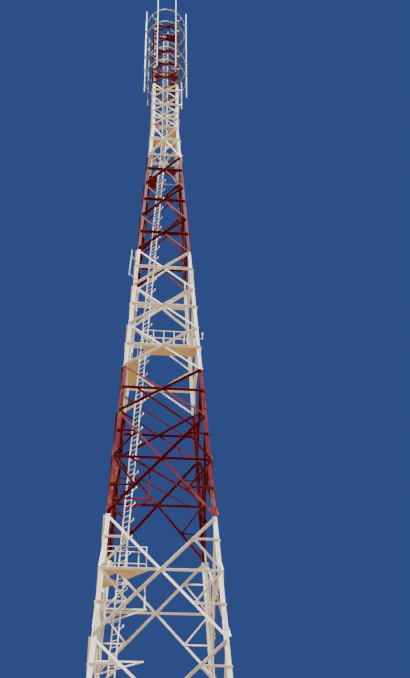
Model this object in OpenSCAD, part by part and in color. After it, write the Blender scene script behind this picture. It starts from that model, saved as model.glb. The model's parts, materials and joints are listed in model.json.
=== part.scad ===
// Four-legged lattice tower for radio antennas, built from steel angles.
// All sizes are those of the real tower in millimetres; the model is drawn smaller by scale_ratio.
// Z is up, the ground is Z = 0, and the origin is under the front left foot.

/* [Scale] */
// Real size divided by model size
scale_ratio = 2; // [1:1:20]

/* [Tower] */
// Width across the leg corners at the ground
base_width = 7120; // [6000:20:9000]
// Width across the leg corners of the straight neck
neck_width = 1720; // [1440:20:2200]
// Height of one tall panel
tall_panel_h = 6000; // [5000:50:7200]
// Number of tall panels
tall_panels = 4; // [3:1:5]
// Height of one short panel
short_panel_h = 3000; // [2700:50:3600]
// Number of short panels
short_panels = 7; // [5:1:8]
// Height of the last tapered panel
last_panel_h = 3300; // [2700:50:3900]
// Height of one panel of the neck
neck_panel_h = 1500; // [1250:50:1800]
// Number of panels in the neck
neck_panels = 8; // [6:1:8]

/* [Legs] */
// Flange width of the leg angles, from the lowest length to the neck
leg_flanges = [215, 200, 190, 180, 170]; // [150:5:280]
// Thickness of the leg angles
leg_t = 20; // [16:1:24]
// Height of each leg joint above the node below it
splice_rise = 850; // [800:50:950]
// Length of a splice plate
splice_l = 900; // [700:50:900]
// Thickness of a splice plate
splice_t = 14; // [10:1:20]

/* [Bracing] */
// Flange width of the diagonals in tall panels
tall_brace_b = 120; // [90:5:140]
// Flange width of the diagonals in short panels
short_brace_b = 100; // [80:5:120]
// Flange width of the diagonals in the neck
neck_brace_b = 70; // [60:5:80]
// Thickness of the bracing angles
brace_t = 10; // [8:1:14]
// Flange width of the horizontals
strut_b = 90; // [60:5:110]
// Flange width of the small redundant bars
redundant_b = 75; // [50:5:90]
// Free gap between the ends of bars that meet
bar_gap = 15; // [5:1:30]

/* [Feet] */
// Side of a square base plate
plate_size = 800; // [700:10:1000]
// Thickness of a base plate
plate_t = 40; // [30:1:60]
// Radius of an anchor hole
anchor_r = 24; // [15:1:30]
// Distance between anchor holes
anchor_pitch = 600; // [500:10:640]

/* [Ladder] */
// Width between the outer faces of the ladder stringers
ladder_w = 440; // [400:10:500]
// Depth of a stringer
stringer_d = 65; // [50:1:80]
// Thickness of a stringer
stringer_t = 12; // [8:1:16]
// Distance from rung to rung
rung_pitch = 300; // [250:10:320]
// Radius of a rung
rung_r = 12; // [9:1:16]

/* [Decks and rails] */
// Thickness of a deck plate
deck_t = 30; // [20:1:50]
// Width of the walkway along the front of the work platform
walk_w = 800; // [700:10:820]
// Height of a hand rail over its deck
rail_h = 1130; // [900:10:1200]
// Radius of the rail tubes
rail_r = 24; // [18:1:30]

/* [Antenna mounts] */
// Radius of the round mounting rings
ring_r = 1450; // [1350:10:1700]
// Radius of the ring tube
ring_tube_r = 38; // [25:1:50]
// Radius of the upright antenna pipes
pipe_r = 45; // [30:1:57]

/* [Hidden] */

red = [0.55, 0.15, 0.12];
white = [0.86, 0.85, 0.82];
zinc = [0.72, 0.75, 0.78];

// Heights
tall_top = tall_panels * tall_panel_h;
neck_z = tall_top + short_panels * short_panel_h + last_panel_h;
top_z = neck_z + neck_panels * neck_panel_h;
foot_node = 250;
levels = concat(
    [foot_node],
    [for (i = [1:tall_panels]) i * tall_panel_h],
    [for (i = [1:short_panels]) tall_top + i * short_panel_h],
    [for (i = [0:neck_panels]) neck_z + i * neck_panel_h]);
first_neck = tall_panels + short_panels + 1;

// Slope of a face and of a leg corner against the vertical
slope = (base_width - neck_width) / 2 / neck_z;
face_k = sqrt(1 + slope * slope);
leg_k = sqrt(1 + 2 * slope * slope);
function half(z) = z < neck_z ? base_width / 2 - slope * z : neck_width / 2;

// Level where the diagonals of a panel cross
function cross_z(i) = let (w0 = half(levels[i]), w1 = half(levels[i + 1]))
    levels[i] + (levels[i + 1] - levels[i]) * w0 / (w0 + w1);

// Heights at which the leg angles change size: the splice plates there end below the horizontal of the panel
function joint(i) = min(levels[i] + splice_rise, cross_z(i) - splice_l / 2 - strut_b - 60);
joint_z = [0, joint(2), joint(4), joint(7), joint(10)];
function leg_b(z) = let (n = len([for (j = joint_z) if (j <= z) 1]))
    leg_flanges[min(n, len(leg_flanges)) - 1];

// Colour bands, from the ground up, change at these levels
band_z = [cross_z(1), levels[3], levels[5], levels[8], levels[11], levels[15], top_z + 1];
function band_colour(z) = let (n = len([for (b = band_z) if (b <= z) 1])) n % 2 == 0 ? red : white;

// Small vector helpers in the plane of a face
function unit(v) = v / norm(v);
function wedge(a, b) = abs(a[0] * b[1] - a[1] * b[0]);
// Distance along a bar of width b, from the middle of a band, at which its square end clears the band
function clear_by(d, e, half_band, b) = (half_band + bar_gap + b / 2 * abs(d * e)) / wedge(d, e);

// Everything is drawn at real size about the tower's axis, then shrunk and moved to the foot
foot_in = plate_size / 2 - 130;
origin_shift = base_width / 2 - foot_in;
module placed() {
    translate([origin_shift, origin_shift, 0] / scale_ratio)
        scale(1 / scale_ratio)
            children();
}

// Local frame of a face: X along it, Y up the slope, Z outwards from the plane of the leg corners
module on_face(k, straight = false) {
    m = straight ? 0 : slope;
    n = straight ? 1 : face_k;
    a = straight ? neck_width / 2 : base_width / 2;
    rotate([0, 0, 90 * k])
        multmatrix([[1, 0, 0, 0], [0, m / n, -1 / n, -a], [0, 1 / n, m / n, 0], [0, 0, 0, 1]])
            children();
}
function up(z, straight) = straight ? z : z * face_k;
function corner(side, z, straight) = [side * half(z), up(z, straight)];
function leg_dir(side, straight) = straight ? [0, 1] : unit([-side * slope, face_k]);

// How deep the bars are welded into the plates between them
seat = 1;
// Hairline gap between the members of a frame
joint_gap = 0.6;
// Free strip beside the corner of a leg that the outer bars leave
heel_band = 10;

// Angle bar between two points of a face. An outer bar lies on the legs with its web outwards, an inner one
// lies behind them with its web inwards. The web is along the edge to the left of the way from p to q.
module angle_bar(p, q, b, start, end, outer = false, web_right = false) {
    d = unit(q - p);
    from = p + d * start;
    t = brace_t;
    w = outer ? 0 : -leg_t;
    s = outer ? 1 : -1;
    y = web_right ? -1 : 1;
    translate([from[0], from[1], 0])
        rotate([0, 0, atan2(d[1], d[0])])
            rotate([90, 0, 90])
                linear_extrude(norm(q - p) - start - end)
                    polygon([[-y * b / 2, w], [y * b / 2, w], [y * b / 2, w + s * b],
                        [y * (b / 2 - t), w + s * b], [y * (b / 2 - t), w + s * t],
                        [-y * b / 2, w + s * t]]);
}

// Packing plate as thick as a leg flange, between the outer and the inner bars of a face
module packing(points) {
    translate([0, 0, -leg_t - seat])
        linear_extrude(leg_t + 2 * seat)
            polygon(points);
}

// Direction of the rising diagonal of a panel
function rise(i) = let (straight = i >= first_neck)
    unit(corner(1, levels[i + 1], straight) - corner(-1, levels[i], straight));
// Horizontals that carry decks or bars have an inward shelf
function has_shelf(i) = i > 1 && i < first_neck;
shelf_in = leg_t + strut_b;

// One panel of a face: an outer and an inner diagonal, and a horizontal in two halves through their crossing
module panel(i, brace_b) {
    straight = i >= first_neck;
    z0 = levels[i];
    z1 = levels[i + 1];
    zc = cross_z(i);
    x = [0, up(zc, straight)];
    left = leg_dir(-1, straight);
    right = leg_dir(1, straight);
    angle_bar(corner(-1, z0, straight), corner(1, z1, straight), brace_b,
        clear_by(rise(i), left, heel_band, brace_b), clear_by(rise(i), right, heel_band, brace_b),
        outer = true);
    angle_bar(corner(-1, z1, straight), corner(1, z0, straight), brace_b,
        clear_by(rise(i), right, leg_b(z1) - brace_b, brace_b),
        clear_by(rise(i), left, leg_b(z0) - brace_b, brace_b));
    strut_end = clear_by([1, 0], rise(i), brace_b / 2, strut_b);
    for (side = [-1, 1])
        angle_bar(corner(side, zc, straight), x, strut_b,
            clear_by([1, 0], left, heel_band, strut_b), strut_end, outer = true, web_right = side > 0);
    if (has_shelf(i)) {
        start = clear_by([1, 0], left, leg_b(zc), strut_b);
        for (side = [0, 1])
            mirror([side, 0, 0])
                translate([start - half(zc), x[1] + strut_b / 2 - brace_t - seat, -shelf_in])
                    cube([half(zc) - start - strut_end - seat, brace_t, shelf_in + 2 * seat]);
    }
    g = strut_end + 70;
    h = strut_b / 2 + 10;
    packing([x + [-g, -h], x + [g, -h], x + [g, h], x + [-g, h]]);
}

// Redundant bars of a tall panel, all outer: level and slanted, from each half diagonal's middle to the leg
module redundants(i) {
    zc = cross_z(i);
    x = [0, up(zc, false)];
    b = redundant_b;
    for (side = [-1, 1], low = [true, false]) {
        m = x + (corner(side, levels[low ? i : i + 1], false) - x) * (low ? 0.5 : 0.57);
        flat_leg = corner(side, m[1] / face_k, false);
        mid_leg = corner(side, zc, false);
        diag = unit(m - x);
        slant = unit(mid_leg - m);
        angle_bar(m, flat_leg, b, clear_by([1, 0], diag, tall_brace_b / 2, b),
            clear_by([1, 0], leg_dir(side, false), heel_band, b), outer = true, web_right = side < 0);
        angle_bar(m, mid_leg, b, clear_by(slant, diag, tall_brace_b / 2, b),
            clear_by(slant, [1, 0], strut_b / 2, b), outer = true, web_right = side < 0);
        v = low ? 1 : -1;
        packing([for (p = [[-45, -42], [200, -42], [200, 42], [110, 122], [0, 122], [-55, 42]])
            m + [side * p[0], v * p[1]]]);
    }
}

// Horizontal at a node, between the outer diagonals that end and start there
module node_strut(i) {
    b = short_brace_b / 2;
    angle_bar(corner(-1, levels[i], false), corner(1, levels[i], false), strut_b,
        clear_by([1, 0], rise(i), b, strut_b), clear_by([1, 0], rise(i - 1), b, strut_b), outer = true);
}

// Bracing of one face over the panels from i to j
module bracing(k, i, j) {
    for (n = [i:j]) {
        tall = n < tall_panels;
        neck = n >= first_neck;
        color(band_colour(levels[n] + 1)) on_face(k, neck) {
            panel(n, tall ? tall_brace_b : neck ? neck_brace_b : short_brace_b);
            if (tall) redundants(n);
            if (n == first_neck - 1) node_strut(n);
        }
    }
}

// Leg of the front left corner: an angle whose flanges lie in the planes of the two faces
leg_axis = [slope, slope, 1] / leg_k;
front_normal = [0, -1, slope] / face_k;
left_normal = [-1, 0, slope] / face_k;
leg_x = cross(leg_axis, front_normal);
leg_y = cross(leg_axis, leg_x);
side_flange = cross(left_normal, leg_axis);
flange_d = [side_flange * leg_x, side_flange * leg_y];
flange_n = [-left_normal * leg_x, -left_normal * leg_y];
module leg_profile(b) {
    far = flange_d * b;
    polygon([[0, 0], [b, 0], [b, leg_t], [leg_t * (1 - flange_n[1]) / flange_n[0], leg_t],
        far + flange_n * leg_t, far]);
}
// Gap between the lengths of a leg, which the splice plates bridge
leg_gap = 1;
// How far the legs stand above the last node
leg_over = 120;
module leg(k) {
    a = base_width / 2;
    b = leg_b(neck_z);
    rotate([0, 0, 90 * k]) {
        for (n = [0:len(joint_z) - 1]) {
            z0 = joint_z[n];
            last = n + 1 == len(joint_z);
            z1 = last ? neck_z + 100 : joint_z[n + 1] - leg_gap;
            color(band_colour(z0))
                intersection() {
                    multmatrix([for (m = [0:2]) [leg_x[m], leg_y[m], leg_axis[m], m < 2 ? -a : 0]])
                        translate([0, 0, n == 0 ? -100 : z0 * leg_k])
                            linear_extrude((z1 - z0) * leg_k + (n == 0 ? 100 : 0))
                                leg_profile(leg_b(z0));
                    translate([-a - 500, -a - 500, plate_t])
                        cube([a + 500, a + 500, neck_z - leg_gap - plate_t]);
                }
        }
        color(band_colour(top_z))
            translate([-neck_width / 2, -neck_width / 2, neck_z])
                linear_extrude(top_z + leg_over - neck_z)
                    polygon([[0, 0], [b, 0], [b, leg_t], [leg_t, leg_t], [leg_t, b], [0, b]]);
    }
}

// Splice plates outside both flanges of each leg joint
module leg_splices() {
    for (k = [0:3], n = [1:len(joint_z) - 1], side = [-1, 1])
        color(band_colour(joint_z[n]))
            on_face(k) {
                e = leg_dir(side, false);
                n_in = [-side * e[1], side * e[0]];
                c = corner(side, joint_z[n], false);
                b = leg_b(joint_z[n]);
                linear_extrude(splice_t)
                    polygon([for (p = [[20, -1], [b - 15, -1], [b - 15, 1], [20, 1]])
                        c + n_in * p[0] + e * p[1] * splice_l / 2]);
            }
}

// Square base plates with anchor holes and ribs that hold the leg upright
rib_t = 20;
rib_h = 320;
module base_plates() {
    a = half(0);
    color(red)
        for (k = [0:3])
            rotate([0, 0, 90 * k]) {
                translate([-a + foot_in, -a + foot_in, 0])
                    difference() {
                        translate([-plate_size / 2, -plate_size / 2, 0])
                            cube([plate_size, plate_size, plate_t]);
                        for (x = [-1, 1], y = [-1, 1])
                            translate([x * anchor_pitch / 2, y * anchor_pitch / 2, -1])
                                cylinder(r = anchor_r, h = plate_t + 2, $fn = 32);
                    }
                foot_rib(true);
                foot_rib(false);
            }
}
// Rib in the corner of a leg: a plate across the angle, from flange to flange
module foot_rib(first) {
    a = half(0);
    in = slope * plate_t + leg_t + brace_t + 1;
    reach = 380;
    mirror(first ? [0, 0, 0] : [1, -1, 0])
        translate([-a + in + slope * rib_h, -a + leg_flanges[0] - 60, plate_t])
            rotate([90, 0, 0])
                linear_extrude(rib_t)
                    polygon([[-slope * rib_h, 0], [reach, 0], [reach, 60], [90, rib_h], [0, rib_h]]);
}

// Depth inside a face that is clear of the inward webs of the bars there
function web_depth(b) = leg_t + b + 8;
// Underside of a plate that lies on the inward shelves of the horizontals, its edge rest deep in the face
rest = 55;
function on_strut(i) = cross_z(i) + (strut_b / 2 - seat - rest * slope) / face_k + 0.2;

// Straight angle bar between two points of the plan, standing on height z
module plan_bar(p, q, z, b) {
    d = unit(q - p);
    translate([p[0], p[1], z])
        rotate([0, 0, atan2(d[1], d[0])])
            rotate([90, 0, 90])
                linear_extrude(norm(q - p))
                    polygon([[-b / 2, 0], [b / 2, 0], [b / 2, brace_t], [-b / 2 + brace_t, brace_t],
                        [-b / 2 + brace_t, b], [-b / 2, b]]);
}

// Ladder line: its middle, as distances in from the front left corner, at the ground and at the neck
ladder_foot = [950, 1500];
ladder_neck = [860, 840];
ladder_start = 300;
ladder_in = (ladder_neck - ladder_foot) / neck_z;
ladder_lean = [slope + ladder_in[0], slope + ladder_in[1], 1];
across = [1, -1, 0] / sqrt(2);
ladder_axis = unit(ladder_lean);
ladder_x = unit(across - ladder_axis * (across * ladder_axis));
ladder_y = cross(ladder_axis, ladder_x);
function ladder_at(z) = z < neck_z
    ? [for (n = [0, 1]) -base_width / 2 + ladder_foot[n] + ladder_lean[n] * z]
    : [-neck_width / 2 + ladder_neck[0], -neck_width / 2 + ladder_neck[1]];
module on_ladder() {
    f = ladder_at(0);
    multmatrix([for (n = [0:2]) [ladder_x[n], ladder_y[n], ladder_axis[n], n < 2 ? f[n] : 0]])
        children();
}
module on_neck_ladder() {
    f = ladder_at(neck_z);
    translate([f[0], f[1], neck_z])
        rotate([0, 0, -45])
            children();
}
module stringer_pair(l) {
    for (side = [-1, 1])
        translate([side * (ladder_w - stringer_t) / 2 - stringer_t / 2, -stringer_d / 2, 0])
            cube([stringer_t, stringer_d, l]);
}
ladder_top = top_z - neck_z - 100;
module ladder_stringers() {
    color(white) {
        intersection() {
            on_ladder() stringer_pair(neck_z * 1.1);
            translate([-base_width, -base_width, ladder_start])
                cube([base_width * 2, base_width * 2, neck_z - leg_gap - ladder_start]);
        }
        on_neck_ladder() stringer_pair(ladder_top);
    }
}
module rung() {
    rotate([0, 90, 0])
        cylinder(r = rung_r, h = ladder_w - 2 * stringer_t, center = true, $fn = 24);
}
module ladder_rungs() {
    ladder_l = neck_z / ladder_axis[2];
    color(white) {
        on_ladder()
            for (s = [ladder_start + rung_pitch : rung_pitch : ladder_l - 100])
                translate([0, 0, s])
                    rung();
        on_neck_ladder()
            for (s = [rung_pitch / 2 : rung_pitch : ladder_top - 60])
                translate([0, 0, s])
                    rung();
    }
}

// Hooks beside the right stringer, one to every third rung, each with a thick upright tip
hook_l = 260;
hook_tilt = 65;
module ladder_hook() {
    translate([ladder_w / 2 + 0.2, -20, -25])
        cube([14, 40, 50]);
    translate([ladder_w / 2 + 8, 0, 0]) {
        rotate([0, hook_tilt, 0])
            cylinder(r = 14, h = hook_l, $fn = 24);
        translate([hook_l * sin(hook_tilt), 0, hook_l * cos(hook_tilt) - 30])
            cylinder(r = 26, h = 100, $fn = 24);
    }
}
module ladder_hooks() {
    decks = [rest_z(), work_z(), upper_z()];
    color(white)
        on_ladder()
            for (s = [ladder_start + rung_pitch * 2.5 : rung_pitch * 3 : neck_z - 700])
                if (min([for (z = decks) abs(z - s * ladder_axis[2])]) > 220)
                    translate([0, 0, s])
                        ladder_hook();
}

// Sum of x and y on the face of an upright bar that lies behind the ladder and ends at height z
function behind_ladder(z) = let (p = ladder_at(z))
    p[0] + p[1] + sqrt(2) * (stringer_d / 2 * norm(ladder_axis / ladder_axis[2]) + 0.2);

// Bars across the front left corner and across the plan, lying on the horizontals
plan_b = 80;
pair_offset = 700;
tie_b = 70;
module plan_bracing() {
    for (i = [tall_panels - 1, tall_panels]) {
        z = on_strut(i);
        h = half(z);
        d = 80;
        far = h - d;
        near = -h + d;
        color(band_colour(z)) {
            plan_bar([near + pair_offset, near], [far, far - pair_offset], z, plan_b);
            plan_bar([far - pair_offset, far], [near, near + pair_offset], z, plan_b);
        }
    }
    for (i = [tall_panels : first_neck - 1])
        if (i != work_i && i != upper_i) {
            z = on_strut(i);
            near = 80 - half(z);
            sum = behind_ladder(z + tie_b) + tie_b / sqrt(2);
            inner = pair_offset - sqrt(2) * (plan_b / 2 + joint_gap);
            p = i == tall_panels ? [sum - inner, sum + inner] / 2 : [near, sum - near];
            color(white)
                plan_bar(p, [p[1], p[0]], z, tie_b);
        }
    i = tall_panels + 3;
    z = levels[i];
    r = plan_b / 2 + sqrt(2) * (leg_t + 0.3);
    h = half(z + plan_b) * sqrt(2) - r;
    d = [1, 1] / sqrt(2);
    color(band_colour(z)) {
        plan_bar([-h, h] / sqrt(2), [h, -h] / sqrt(2), z, plan_b);
        for (side = [-1, 1])
            plan_bar(d * side * (plan_b / 2 + joint_gap), d * side * h, z, plan_b);
    }
}

// Three-sided frames inside the front left corner that hold the ladder below the work platform
frame_z = [2000, 5000, 7750, 10930, 13290, 18940];
frame_b = 60;
frame_in = 162;
module ladder_frame(z) {
    h = half(z);
    s = behind_ladder(z + frame_b) + 2 * h;
    far = s + frame_b * sqrt(2);
    a = frame_in;
    b = frame_in + frame_b;
    g = b + joint_gap;
    end = a - joint_gap;
    stub = leg_t + slope * frame_b + 0.3;
    members = [
        [[a, a], [far - a, a], [far - b, b], [a, b]],
        [[a, g], [b, g], [b, far - b], [a, far - a]],
        [[s - g, g], [far - g, g], [g, far - g], [g, s - g]],
        [[stub, a], [end, a], [end, b], [stub, b]],
        [[a, stub], [b, stub], [b, end], [a, end]]];
    translate([-h, -h, z])
        linear_extrude(frame_b)
            for (m = members)
                polygon(m);
}
// Flat hanger from behind the outer front diagonal down to a ladder frame
hanger_t = 14;
module hanger(x, i, z) {
    zh = levels[i] + (cross_z(i) - levels[i]) * (1 + x / half(levels[i]));
    w = (frame_in - slope * frame_b) / face_k - 0.2;
    block = w - hanger_t - joint_gap;
    on_face(0) {
        translate([x - 30, up(z, false), -w])
            cube([60, up(zh - z, false), hanger_t]);
        translate([x - 25, up(zh, false) - 60, -block])
            cube([50, 55, block - 0.2]);
    }
}
module ladder_frames() {
    color(white) {
        for (z = frame_z) ladder_frame(z);
        hanger(-600, 3, frame_z[5] + 20);
        hanger(-700, 2, frame_z[4] + 20);
    }
}

// Tubes of a railing along a line of plan points: posts at every point and rails between them
module railing(points, z, heights, post_l) {
    for (p = points)
        translate([p[0], p[1], z])
            cylinder(r = rail_r, h = post_l, $fn = 24);
    for (i = [1:len(points) - 1], h = heights) {
        p = points[i - 1];
        q = points[i];
        d = q - p;
        translate([p[0], p[1], z + h])
            rotate([0, 0, atan2(d[1], d[0])])
                rotate([0, 90, 0])
                    cylinder(r = rail_r * 0.8, h = norm(d), $fn = 24);
    }
}

// Triangular rest platform in the front left corner, with a well for the climber
rest_i = 2;
rest_side = 2250;
well_w = 620;
well_d = 640;
function rest_z() = on_strut(rest_i);
module rest_platform() {
    z = rest_z();
    h = half(z);
    p = ladder_at(z);
    clear = web_depth(tall_brace_b);
    color(white)
        difference() {
            translate([-h, -h, z])
                linear_extrude(deck_t)
                    polygon([[520, rest], [rest_side, rest], [rest_side, clear], [clear, rest_side + 150],
                        [rest, rest_side + 150], [rest, 520], [clear, 520], [clear, clear], [520, clear]]);
            translate([p[0], p[1], z - 1])
                rotate([0, 0, 45])
                    translate([-well_d, -well_w / 2, 0])
                        cube([well_d + 900, well_w, deck_t + 2]);
        }
}
rest_rails = [300, 880, 1130];
module rest_railing() {
    z = rest_z() + deck_t;
    h = half(z);
    y = slope * rail_h + rail_r + 10 + web_depth(tall_brace_b);
    color(white) {
        railing([for (x = [660, 1180, 1700, 2050]) [-h + x, -h + y]], z, rest_rails, rest_rails[2] + rail_r);
        railing([for (x = [660, 1180, 1700, 2050]) [-h + y, -h + x]], z, rest_rails, rest_rails[2] + rail_r);
    }
}

// L-shaped work platform on the horizontals of a short panel, open at the ladder
work_i = tall_panels + 1;
work_rails = [150, 640, 1130];
function work_z() = on_strut(work_i);
module centre_notch(z, b) {
    h = half(z);
    w = web_depth(b);
    for (k = [0, 3])
        rotate([0, 0, 90 * k])
            translate([-b * 1.8, -h - 1, z - 1])
                cube([b * 3.6, w + 1, deck_t + 2]);
}
module work_platform() {
    z = work_z();
    h = half(z);
    color(white)
        difference() {
            union() {
                translate([0, rest - h, z])
                    linear_extrude(deck_t)
                        polygon([[-1240, 0], [h - rest - 100, 0], [h - rest - 100, walk_w], [-740, walk_w]]);
                translate([-h + rest, -500, z])
                    cube([600, h - rest + 500 - 160, deck_t]);
            }
            centre_notch(z, short_brace_b);
        }
}
module work_railing() {
    z = work_z() + deck_t;
    h = half(z);
    y = web_depth(short_brace_b) + slope * rail_h + rail_r + 10;
    x0 = -1080;
    x1 = h - 260;
    n = 5;
    color(white) {
        railing([for (i = [0:n]) [x0 + (x1 - x0) * i / n, -h + y]], z, work_rails, rail_h + rail_r);
        railing([for (i = [1:n]) [x0 + (x1 - x0) * i / n, -h + rest + walk_w - 40]], z, work_rails,
            rail_h + rail_r);
        railing([for (i = [0:3]) [-h + y, -460 + 600 * i]], z, work_rails, rail_h + rail_r);
        railing([for (i = [0:3]) [-h + rest + 560, -460 + 600 * i]], z, work_rails, rail_h + rail_r);
    }
}

// Small platform in the last short panel but one
upper_i = first_neck - 2;
function upper_z() = on_strut(upper_i);
module upper_platform() {
    z = upper_z();
    h = half(z);
    color(red)
        difference() {
            union() {
                translate([0, 0, z])
                    linear_extrude(deck_t)
                        polygon([[-310, rest - h], [900, rest - h], [480, -590], [360, -590]]);
                translate([-h + rest, -560, z])
                    cube([570, 890, deck_t]);
            }
            centre_notch(z, short_brace_b);
        }
}

// Platforms of the neck, each on a frame of bars between the legs
deck_levels = [0, 4, 7];
beam = 60;
module neck_frame(z) {
    a = neck_width / 2;
    y = web_depth(neck_brace_b) - 5;
    for (k = [0:3]) {
        l = k % 2 == 0 ? a - leg_t - 0.1 : a - y - beam - joint_gap;
        rotate([0, 0, 90 * k])
            translate([-l, -a + y, z])
                cube([2 * l, beam, beam]);
    }
}
// Climber's well in the plan turned to the ladder: where it begins and ends, and its half width
well = [-700, 60, 450];
module well_plates() {
    l = neck_width;
    g = joint_gap;
    translate([well[1], -l])
        square([l, 2 * l]);
    for (y = [well[2], -well[2] - l])
        translate([-l, y])
            square([l + well[1] - g, l]);
    translate([-l, g - well[2]])
        square([l + well[0], 2 * (well[2] - g)]);
}
module neck_decks() {
    e = neck_width / 2 - web_depth(neck_brace_b) + 5;
    for (n = deck_levels) {
        z = neck_z + n * neck_panel_h + 10;
        color(n == 7 ? red : white) {
            neck_frame(z);
            translate([0, 0, z + beam + 0.2])
                linear_extrude(deck_t)
                    if (n == 0)
                        intersection() {
                            square(2 * e, center = true);
                            rotate(45)
                                well_plates();
                        }
                    else if (n == 4) {
                        polygon([[e, -e], [e, e], [380, e], [380, -e]]);
                        polygon([[-e, -e], [-330, -e], [-330, -270], [-e, -270]]);
                    }
                    else
                        polygon([[-110, -e], [e, -e], [e, -220], [200, -220]]);
        }
    }
}

// Round rings that carry the antenna pipes, and the arms that hold them to the legs
ring_z = [54600, 56100, 59200, 60700];
module antenna_rings() {
    color(zinc)
        for (z = ring_z)
            translate([0, 0, z])
                rotate_extrude($fn = 96)
                    translate([ring_r, 0])
                        circle(r = ring_tube_r, $fn = 24);
}
arm_t = 60;
module ring_arms() {
    a = neck_width / 2;
    heel = a * sqrt(2);
    color(zinc)
        for (z = ring_z, k = [0:3]) {
            under = z - ring_tube_r - 0.1;
            top = min(under, top_z + leg_over);
            rotate([0, 0, 45 + 90 * k]) {
                translate([heel, 0, top - arm_t])
                    linear_extrude(arm_t)
                        polygon([[0, 0], [-90, 90], [-60, 120], [40, 35], [ring_r - heel + 30, 35],
                            [ring_r - heel + 30, -35], [40, -35], [-60, -120], [-90, -90]]);
                if (top < under)
                    translate([ring_r, 0, top - 1])
                        cylinder(r = 25, h = under - top + 1, $fn = 24);
            }
        }
}
// Antenna pipes outside the rings: angle from the front, lower end, upper end, and 1 if it has a wide sleeve
pipe_list = [[-25, 53900, 62000, 0], [25, 53900, 62000, 0], [-71, 52300, 61900, 1], [73, 52100, 62100, 0],
    [-129, 53100, 61100, 0], [142, 53700, 61800, 0]];
collar_t = 12;
collar_h = 80;
sleeve_t = 38;
sleeve_gap = 150;
module antenna_pipes() {
    color(zinc)
        for (p = pipe_list)
            rotate([0, 0, p[0] - 90])
                translate([ring_r + ring_tube_r + pipe_r + collar_t + 0.2, 0, 0]) {
                    translate([0, 0, p[1]])
                        cylinder(r = pipe_r, h = p[2] - p[1], $fn = 32);
                    for (z = ring_z)
                        translate([0, 0, z - collar_h / 2])
                            cylinder(r = pipe_r + collar_t, h = collar_h, $fn = 32);
                    if (p[3] == 1)
                        for (i = [1:len(ring_z) - 1]) {
                            l = ring_z[i] - ring_z[i - 1] - 2 * sleeve_gap;
                            translate([0, 0, ring_z[i - 1] + sleeve_gap])
                                cylinder(r = pipe_r + sleeve_t, h = l, $fn = 32);
                        }
                }
}

// Upright pipes for small antennas: one beside the neck, one in front of the front left leg
mount_r = 40;
module neck_mount() {
    a = neck_width / 2;
    x = a + 240;
    translate([x, -a + 80, 50300])
        cylinder(r = mount_r, h = 2900, $fn = 32);
    for (z = [50700, 52300])
        translate([a + 0.1, -a + 50, z])
            cube([x - a, 60, 60]);
}
module leg_mount() {
    s0 = 33450 * leg_k;
    p = [-270, -300];
    multmatrix([for (n = [0:2]) [leg_x[n], leg_y[n], leg_axis[n], n < 2 ? -base_width / 2 : 0]]) {
        translate([p[0], p[1], s0])
            cylinder(r = mount_r, h = 2050, $fn = 32);
        for (b = [[100, splice_t + 0.2], [1550, 0.2]])
            translate([-b[1], -b[1], s0 + b[0]])
                linear_extrude(60)
                    polygon(concat([[0, 0], flange_d * 140, flange_d * 140 + [-20, 0], [-30, 10]],
                        [p + [-20, 40], p + [35, -20], [10, -30], [140, -20], [140, 0]]));
    }
}
module side_mounts() {
    color(zinc) {
        neck_mount();
        leg_mount();
    }
}

// Lamp on a bent arm at the front right leg above the work platform
module lamp_bracket() {
    z = 29300;
    a = half(z);
    reach = 200;
    color(white)
        translate([a + 40 * slope + 0.2, -a + 120, z]) {
            translate([0, -40, -40])
                cube([8, 80, 80]);
            rotate([0, 90, 0])
                cylinder(r = 18, h = reach, $fn = 24);
            translate([reach, 0, -19])
                cylinder(r = 20, h = 300, $fn = 24);
            translate([reach, 0, 250])
                cylinder(r = 45, h = 130, $fn = 32);
        }
}

// Cable run: a flat tray up the inside of the right face, held off the horizontals by blocks
module cable_run() {
    w = web_depth(tall_brace_b) - 8 + 0.2;
    m = base_width / 4;
    far_z = 42000;
    lean = atan(slope / 2 / face_k);
    color(zinc)
        on_face(1)
            translate([m, 0, -w - 25])
                rotate([0, 0, lean])
                    translate([-60, 600, 0])
                        cube([120, far_z * face_k, 25]);
}

placed() leg(0);  // leg_front_left
placed() leg(1);  // leg_front_right
placed() leg(2);  // leg_back_right
placed() leg(3);  // leg_back_left
placed() leg_splices();
placed() base_plates();
placed() bracing(0, 0, 1);  // front_bracing_1
placed() bracing(0, 2, 3);  // front_bracing_2
placed() bracing(0, 4, 7);  // front_bracing_3
placed() bracing(0, 8, 11);  // front_bracing_4
placed() bracing(0, 12, 19);  // front_bracing_5
placed() bracing(1, 0, 1);  // right_bracing_1
placed() bracing(1, 2, 3);  // right_bracing_2
placed() bracing(1, 4, 7);  // right_bracing_3
placed() bracing(1, 8, 11);  // right_bracing_4
placed() bracing(1, 12, 19);  // right_bracing_5
placed() bracing(2, 0, 1);  // back_bracing_1
placed() bracing(2, 2, 3);  // back_bracing_2
placed() bracing(2, 4, 7);  // back_bracing_3
placed() bracing(2, 8, 11);  // back_bracing_4
placed() bracing(2, 12, 19);  // back_bracing_5
placed() bracing(3, 0, 1);  // left_bracing_1
placed() bracing(3, 2, 3);  // left_bracing_2
placed() bracing(3, 4, 7);  // left_bracing_3
placed() bracing(3, 8, 11);  // left_bracing_4
placed() bracing(3, 12, 19);  // left_bracing_5
placed() plan_bracing();
placed() ladder_stringers();
placed() ladder_rungs();
placed() ladder_hooks();
placed() ladder_frames();
placed() rest_platform();
placed() rest_railing();
placed() work_platform();
placed() work_railing();
placed() upper_platform();
placed() neck_decks();
placed() antenna_rings();
placed() ring_arms();
placed() antenna_pipes();
placed() side_mounts();
placed() lamp_bracket();
placed() cable_run();
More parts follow.
